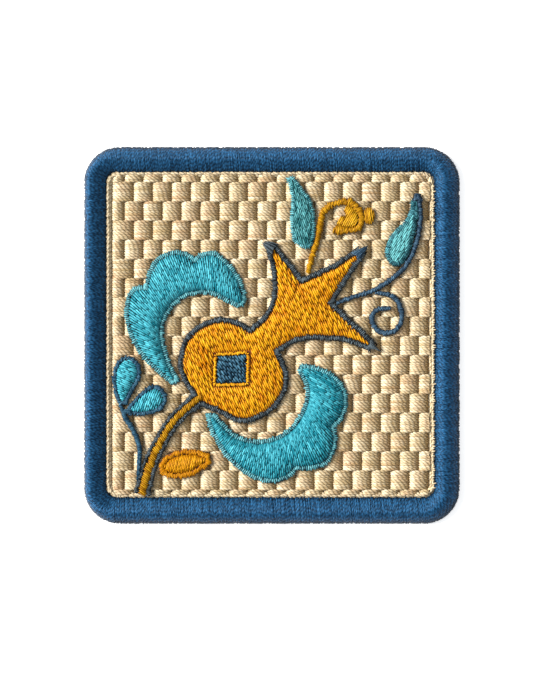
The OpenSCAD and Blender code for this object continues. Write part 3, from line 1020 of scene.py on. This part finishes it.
def ground_rows(name, numbers, *nodes):
    """The rows of bricks with those numbers, as one piece."""
    skein = Skein()
    ends = np.array([s for n in numbers for s in brick_row(n)])
    ends[:, :2] += rng.normal(0, 0.07, (len(ends), 2))
    x = ends[:, :1] + (ends[:, 1:2] - ends[:, :1]) * spaced(9)
    y = np.broadcast_to(ends[:, 2:3] + rng.normal(0, 0.02, (len(ends), 1)), x.shape)
    place = (x - ends[:, 3:4]) / (ends[:, 4:] - ends[:, 3:4]) * BRICK_WIDE
    flat = np.stack([x, y], axis=-1)
    keep = ~covered(flat)
    flat, place = flat[keep], place[keep]
    z = np.interp(place, HUMP_X, HUMP_Z) + rng.normal(0, 0.015, (len(place), 1))
    low = np.clip((1.35 - z) / 0.4, 0, 1)
    skein.lay(flat, z, (0, 1), GROUND_WIDE - GROUND_NARROWER * low, GROUND_TALL,
              np.interp(place, SHADE_X, SHADE))
    skein.sew(name, CREAM, "cream", *nodes)


ground_rows("ground_rows_even", range(0, 17, 2), "ground_fill")
ground_rows("ground_rows_odd", range(-1, 17, 2))

# %% [markdown]
# A cream thread runs round the inside of the wrapped edge. It was sewn first, to hold the cloth
# down, and it shows as a pale line where the bricks end. At the right it lies double, and small
# whip stitches reach from it up over the foot of the wraps. A plain pale strip would fill the gap
# as well, but here too the eye looks for stitches.


# %% Edge run
def round_square(half, radius, step):
    """Points round a square with round corners."""
    straight = half - radius
    line = []
    for turn in range(4):
        spin = turn * math.pi / 2
        out, on = heading(spin)
        line += [out * half + on * t for t in np.arange(-straight, straight, step)]
        for t in np.arange(0, math.pi / 2, step / radius):
            line.append((out + on) * straight + radius * heading(spin + t)[0])
    return np.array(line)


def run_along(skein, points, z, wide, tall, tone):
    """A running stitch from point to point."""
    a, b = points[:-1], points[1:]
    at = spaced(7)
    height = z - 0.12 * (np.exp(-((at / 0.1) ** 2)) + np.exp(-(((1 - at) / 0.1) ** 2)))
    # Painted shade at both ends of each stitch, where it goes into the cloth.
    skein.lay(between(a, b, at), height, left_of(unit(b - a)), wide, tall,
              (0.5, 0.1, 0, 0, 0, 0.1, 0.5), tone + 0.1 * rng.standard_normal(len(a)))


edge_run = Skein()
run = round_square(half=32.75, radius=2.2, step=1.7)
run = np.vstack([run, run[:1]])
run[:, 0] += np.where(run[:, 0] < -32, -0.25, 0)  # further out at the left
run[:, 1] += np.where(run[:, 1] < -32, 0.3, 0)  # further in at the bottom
run_along(edge_run, run, z=1.12, wide=1.5, tall=0.4, tone=0.9)
run_along(edge_run, run + rng.normal(0, 0.05, run.shape), z=1.36, wide=0.56, tall=0.34, tone=0.9)
heights = np.arange(-30.6, 31, 1.5)
inner = np.stack([np.full(len(heights), 32.35), heights], axis=-1)
run_along(edge_run, inner + rng.normal(0, 0.06, inner.shape), z=1.3, wide=0.62, tall=0.36, tone=0.7)
whips = np.arange(-31, 31, 0.5)
whips = whips + rng.normal(0, 0.07, len(whips))
whips = whips[rng.random(len(whips)) < 0.8][:, None]
out = 32.5 + rng.normal(0.62, 0.14, whips.shape) * ARCH
climb = np.interp(ARCH, [0, 0.3, 0.8, 1], [1.4, 1.6, 1.86, 1.7])
edge_run.lay(np.stack([out, whips + 0.12 * ARCH], axis=-1), climb, (0, 1), 0.27 * TAPER, 0.22 * TAPER,
             painted_shading=0, tone=np.ones(len(whips)))
edge_run.sew("edge_run", CREAM, "cream")

# %% [markdown]
# The wrapped edge
#
# The edge is wrapped by a machine of its own: one navy thread after another goes over the rim of
# the cloth and back underneath, packed so tight that they make a thick round welt. At the corners
# they fan out. Each wrap here is one thread whose line follows the welt's section, from where it
# leaves the ground, over the crest, round the outside and flat under the back. A swept welt with
# fine grooves would be quicker, but its outline would be a clean cut. Wraps leave it a little
# rough, because some of them are drawn in more than others.

# %% Section of the wrapped edge
EDGE_WIDE, EDGE_HALF, EDGE_RADIUS = 5.0, PATCH_SIDE / 2, 7.0
CREST_IN, CREST_SHIFT, CREST_HIGH = 2.2, 0.9, 2.78  # in from the outside, to the left, and up
OUTER_FALL, INNER_FALL = 1.85, 1.7  # from the crest down, to the outside and to the foot
OUTER_POWER, INNER_POWER = 1.7, 1.45  # of the two curves that fall there
# A wrap's rings: how far in from the outside over the crest, then back below with the height
OVER = [5.0, 4.5, 3.9, 3.2, 2.6, 2.05, 1.5, 1.0, 0.5, 0.12, -0.08]
UNDERSIDE = [(0.1, 0.75), (0.55, 0.26), (1.8, 0.17), (4.5, 0.19)]


def across_edge(x, y):
    """How far a point of the edge lies in from the outside, and how much it faces right."""
    straight = EDGE_HALF - EDGE_RADIUS
    right, up = max(abs(x) - straight, 0), max(abs(y) - straight, 0)
    far = math.hypot(right, up)
    return EDGE_RADIUS - far, math.copysign(right, x) / max(far, 1e-6)


def edge_height(d, facing):
    """Height of the middle of a wrap's thread, d in from the outside. The crest lies a little
    further left on every side."""
    crest = CREST_IN + CREST_SHIFT * facing
    outer = OUTER_FALL * (np.maximum(crest - d, 0) / (crest + 0.05)) ** OUTER_POWER
    inner = INNER_FALL * (np.maximum(d - crest, 0) / (EDGE_WIDE - crest)) ** INNER_POWER
    return CREST_HIGH - outer - inner


print("the wraps at the ground lie", round(float(edge_height(EDGE_WIDE, 0)), 2), "mm up")

# %% Places of the wraps
WRAP_PITCH, WRAP_WIDE, WRAP_TALL = 0.28, 0.38, 0.3
FAN_RADIUS = 5.6  # where the wraps of a corner are a pitch apart


def edge_places():
    """Where each wrap stands: a point of the side or the middle of a corner, and the angle that
    it faces."""
    straight = EDGE_HALF - EDGE_RADIUS
    flat = 2 * straight
    sides, corners = round(flat / WRAP_PITCH), round(math.pi / 2 * FAN_RADIUS / WRAP_PITCH)
    places = []
    for turn in range(4):
        spin = turn * math.pi / 2
        out, on = heading(spin)
        places += [(out * straight + on * ((k + 0.5) / sides - 0.5) * flat, spin) for k in range(sides)]
        corner = (out + on) * straight
        places += [(corner, spin + (k + 0.5) / corners * math.pi / 2) for k in range(corners)]
    return places


places = edge_places()
count = len(places)
centre, angle = np.array([p for p, _ in places]), np.array([a for _, a in places])
outward = np.stack([np.cos(angle), np.sin(angle)], axis=-1)
onward = left_of(outward)
to_left, down = np.maximum(-outward[:, :1], 0), np.maximum(-outward[:, 1:], 0)
print("wraps:", count)

# %% Wrapped edge
LEAN = 0.8  # millimetres sideways from a wrap's first ring to its last
DRAWN_SHARE, DRAWN_IN = 0.2, 0.14  # so many of the wraps are drawn in by so many millimetres
LEFT_IN = 0.25  # and so are all of them at the left
LEFT_SHORT, BOTTOM_LONG = 0.35, 0.25  # their feet stop short at the left, and reach on at the bottom
inwards = np.array(OVER + [d for d, _ in UNDERSIDE])
top = np.arange(len(inwards)) < len(OVER)
lean = np.linspace(-0.5, 0.5, len(inwards)) * LEAN + rng.normal(0, 0.03, (count, 1))
drawn_in = DRAWN_IN * (rng.random((count, 1)) < DRAWN_SHARE) + rng.normal(0, 0.02, (count, 1))
drawn_in *= 1 - 0.7 * np.abs(np.sin(2 * angle))[:, None]
drawn_in += LEFT_IN * to_left
foot = LEFT_SHORT * to_left - BOTTOM_LONG * down
foot += rng.normal(0, 0.05, (count, 1))
reach = EDGE_RADIUS - inwards - drawn_in * np.clip(1 - inwards / 0.7, 0, 1)
reach = reach + foot * np.clip((inwards - 2) / 3, 0, 1) * top
flat = centre[:, None] + outward[:, None] * reach[..., None] + onward[:, None] * lean[..., None]
height = np.where(top, edge_height(inwards, outward[:, :1]) + rng.normal(-0.02, 0.015, (count, 1)), 0)
height[:, ~top] = [z for _, z in UNDERSIDE]
# Painted shade where the wraps turn round the outside of the rim and at their foot on the ground.
painted_shading = np.interp(inwards, [-0.1, 0.2, 0.6, 4.3, 5.0], [1, 0.7, 0, 0, 0.7])
tone = 0.47 + 0.11 * rng.standard_normal(count)
wraps = Skein()
wraps.underlay("border", inset=0.28, ceiling=lambda x, y: edge_height(*across_edge(x, y)) - 0.25)
wraps.lay(flat, height, -onward, WRAP_WIDE, WRAP_TALL, painted_shading, tone)
wraps.sew("edge_wraps", NAVY, "navy", "border")

# %% [markdown]
# The fruit
#
# The fruit is the broadest fill. Its threads run steeply down to the right, in short stitches over
# a padding that swells to the middle, and a dark satin bar goes round it and down both sides of
# the stem. The window is a small dark fill of its own, and short gold stitches frame it. The fruit
# could be one swollen shape with stitches drawn on, but that shape stays smooth at its outline. So
# each node gets its own call of the helper for a fill, a bar or an edging.

# %% Fruit, outline, window and stem
CROWN_TIPS = [(-0.7, 18.2), (18.7, 17.4), (20.9, -2.5)]
STEM_END = (-26.4, -33.0)
fill_piece("fruit", -65, 0.42, 2.3, GOLD, "gold", hole=1.24, wide=0.48, tall=0.36, dip=0.12, dark=0.45,
           uneven=0.35, wander=0.4, tones=0.2, edge_dip=0.1, under_rim=0.2, top=2.06, rise=0.5, reach=4,
           fade=0.46, rings=9)
fill_piece("seed_window", -50, 0.46, 1.5, INK, "slate", name="window_stitches", top=2.15, rise=0.3,
           reach=2.0, tall=0.4, dip=0.2, dark=0.6, tone=0.65, tones=0.2, under_rim=0, uneven=0.2, wander=0.3)
edging("window_frame", "seed_window", GOLD, "gold", pitch=0.27, inward=0.02, outward=0.6,
       heights=(2.1, 2.24, 2.08), tone=0.7)
satin_piece("fruit_outline", SLATE, "slate", beside=["fruit", "stem"], over=0, tone=0.6, uneven=0.25,
            ragged=0.17, pitch=0.36, wide=0.31, lean=0, feet_dark=0.8, clear=CROWN_TIPS)
satin_piece("stem", OLD_GOLD, "gold", over=0.3, height=0.68, lean=0.5, pitch=0.4, wide=0.38, tone=0.38,
            uneven=0.3, longer=(0, 0.9), clear=[STEM_END])

# %% [markdown]
# At the three points of the crown the outline's threads run out into sharp dark spikes. They are
# long stitches of their own, side by side at the gold and together at the tip. A bar that narrows
# to nothing can't show that, because its threads lie across and not along.

# %% Spikes of the crown
TUFT = 13  # stitches in a tuft


def tuft(x, y, angle, length, base, tip, point, tone):
    """The values of a tuft of long stitches side by side from x, y on. It is base and then tip
    wide to either side, and its middle reaches further by point."""
    way, off = heading(math.radians(angle))
    spread = np.linspace(-1, 1, TUFT)[:, None]
    along = length - point * np.abs(spread) + rng.normal(0, 0.2, spread.shape)
    along = ARCH * along - 0.3 * np.abs(spread)
    aside = spread * (base + (tip - base) * ARCH)
    flat = np.array([x, y]) + along[..., None] * way + aside[..., None] * off
    z = np.interp(ARCH, [0, 0.4, 0.75, 1], [2.3, 2.4, 2.2, 1.66]) - 0.25 * spread**2
    wide, tall = 0.3 * np.linspace(1, 0.3, 7), 0.28 * np.linspace(1, 0.4, 7)
    return flat, z, off, wide, tall, 0, tone + 0.35 * rng.standard_normal(TUFT)


def tufts(name, look, dye, *places):
    skein = Skein()
    for place in places:
        skein.lay(*tuft(**place))
    skein.sew(name, look, dye)


tufts("crown_spikes", SLATE, "slate",
      dict(x=0.5, y=17.5, angle=150, length=2.7, base=1.2, tip=0.7, point=0.5, tone=0.35),
      dict(x=19.9, y=-1.9, angle=-31, length=2.9, base=1.1, tip=0.1, point=1.2, tone=0.35))
tufts("crown_spike_blue", VINE, "slate",
      dict(x=17.2, y=16.0, angle=42, length=3.3, base=1.15, tip=0.4, point=0.9, tone=0.25))

# %% [markdown]
# The leaves
#
# The turquoise threads of a leaf turn with it, so that they always lie about square to its spine.
# Parallel rows would be simpler, but the light plays on a leaf as its threads turn. A list of
# guides, each a place and an angle, says how they turn, and the rows are spread between them. The
# fill rises over its padding, its stitches vary in length and tone, and a satin rim closes it.

# %% Leaves
UPPER_GUIDES = [
    (-20.3, -7.6, -14), (-23.0, -4.4, -16), (-25.0, -1.0, -22), (-25.6, 2.5, -34), (-24.8, 6.0, -47),
    (-22.5, 9.3, -58), (-19.3, 11.3, -64), (-15.8, 11.9, -72), (-12.0, 11.9, -86), (-9.0, 10.2, -84),
    (-7.0, 8.4, -78), (-6.2, 7.5, -74),
]
LOWER_GUIDES = [
    (-12.0, -17.6, 30), (-10.2, -20.0, 44), (-7.6, -22.6, 58), (-4.2, -24.4, 74), (-0.8, -25.1, 86),
    (2.6, -24.8, 96), (5.8, -23.2, 108), (8.6, -20.6, 122), (10.4, -17.2, 136), (10.9, -13.6, 150),
    (9.8, -10.4, 154), (10.3, -8.0, 152), (10.8, -5.8, 150),
]
LEAF = dict(wide=0.46, rise=0.95, reach=2.7, rings=9, dip=0.05, edge_dip=0.2, dark=0.12, uneven=0.3,
            tone=0.55, top=2.06, under_rim=0.1, spindle=0.25, edge_shade=0.25, shift=0.37, grow=0.2)


def leaf_fill(node, rows, pitch, length, look=TURQUOISE, **how):
    """A fill of turquoise threads, with the values in LEAF where no other is given."""
    fill_piece(node, rows, pitch, length, look, "turquoise", **{**LEAF, **how})


leaf_fill("upper_leaf", UPPER_GUIDES, 0.39, 2.1, tones=0.22)
leaf_fill("lower_leaf", LOWER_GUIDES, 0.38, 2.0, tones=0.2, wide=0.48, tone=0.34)
for leaf in ("upper_leaf", "lower_leaf"):
    satin_piece(f"{leaf}_rim", TEAL, "turquoise", slot="teal_thread", beside=[leaf], pitch=0.43,
                wide=0.35, height=0.46, ragged=0.12, tone=0.75, lean=0)

# %% [markdown]
# The buds are two small leaves with a dark rim on one thin stem. Guides could turn their threads
# too, but a bud is too small to show it, so each has straight rows in its own direction, with
# shorter and lower stitches than a leaf's. Tufts lengthen the stem where its threads run out.

# %% Buds
BUDS = ["bud_upper", "bud_lower"]
for bud, turn, reach in zip(BUDS, (-24, 70), (1.6, 1.4)):
    leaf_fill(bud, turn, 0.4, 1.7, rise=0.6, reach=reach, wide=0.45, tone=0.7, tones=0.26, edge_shade=0.1)
DARK_BAR = dict(beside=BUDS, lean=0.35, feet_dark=0.6)
for bud in BUDS:
    satin_piece(f"{bud}_rim", INK, "slate", **DARK_BAR)
satin_piece("bud_stem", INK, "slate", ragged=0.06, uneven=0.15, longer=(2.0, 0.8), **DARK_BAR)
tufts("bud_stem_foot", INK, "slate",
      dict(x=-26.6, y=-24.3, angle=-94, length=5.7, base=0.36, tip=0.3, point=0.3, tone=0.2),
      dict(x=-28.5, y=-15.4, angle=178, length=1.9, base=0.45, tip=0.3, point=0.2, tone=0.2))

# %% [markdown]
# The gold leaf is so narrow that each row of its fill is one stitch from side to side. The drops
# have no satin rim. Short stitches square to their outline close them, which looks softer than a
# bar would. Tufts make the neck and the dark cap of the right drop, where its solid stops short.

# %% Gold leaf and drops
fill_piece("gold_leaf", 78, 0.32, 0, AMBER, "gold", reach=1.2, rise=0.4, wide=0.38, tones=0.2,
           under_rim=0.05)
satin_piece("gold_leaf_rim", AMBER, "gold", beside=["gold_leaf"], height=0.5, wide=0.38, tone=0.1,
            uneven=0.25)
DROP = dict(look=SEA, rise=0.6, reach=1.6, wide=0.43, tones=0.16, uneven=0.25, wander=0.2, rings=7,
            spindle=0.2, edge_shade=0)
leaf_fill("top_drop", -70, 0.37, 1.7, tone=0.4, grow=-0.1, **DROP)
edging("top_drop_edge", "top_drop", TEAL, "turquoise", pitch=0.38, inward=0.6, outward=0.32,
       heights=(2.24, 2.2, 1.66), tone=0.7, uneven=0.45)
leaf_fill("right_drop", 58, 0.35, 2.2, tone=0.95, grow=0.1, **DROP)
edging("right_drop_edge", "right_drop", POND, "turquoise", pitch=0.36, inward=0.75, outward=0.36,
       heights=(2.44, 2.32, 1.66), tone=0.4)
tufts("right_drop_neck", POND, "turquoise",
      dict(x=28.85, y=23.7, angle=87, length=4.3, base=0.85, tip=0.66, point=0.2, tone=0.5))
tufts("right_drop_cap", VINE, "slate",
      dict(x=29.6, y=27.4, angle=88, length=1.25, base=0.95, tip=0.85, point=0.2, tone=0.05))

# %% [markdown]
# The gold curl is a thin satin bar with a web of stitches inside it and a round knot on it. The
# dark vine climbs past the right drop, and a scroll curls under it. All could be swept tubes, but
# thin bars of satin keep the little steps where one thread crosses the next.

# %% Gold curl, vine and scroll
satin_piece("gold_scroll", OLD_GOLD, "gold", lean=0.3, over=0.16, tone=0.32, uneven=0.3, longer=(0.2, 0.5))
fill_piece("scroll_web", 62, 0.36, 0, OLD_GOLD, "gold", reach=1, tone=0.72, wide=0.42, grow=0.15)
fill_piece("scroll_knot", 98, 0.34, 0, OLD_GOLD, "gold", reach=1, tone=0.55, wide=0.4, grow=0.38,
           under_rim=0, edge_dip=0.1)
satin_piece("right_vine", VINE, "slate", beside=["right_drop"], lean=0.35, over=-0.05, ragged=0.1,
            feet_dark=0.7, longer=(0.3, 0.5))
satin_piece("right_scroll", VINE, "slate", lean=0.35, ragged=0.08, feet_dark=0.7, longer=(0.5, 0.2))

# %% [markdown]
# Finish
#
# The threads stand a little proud of the solids that they cover.

# %% Finish
bpy.context.view_layer.update()
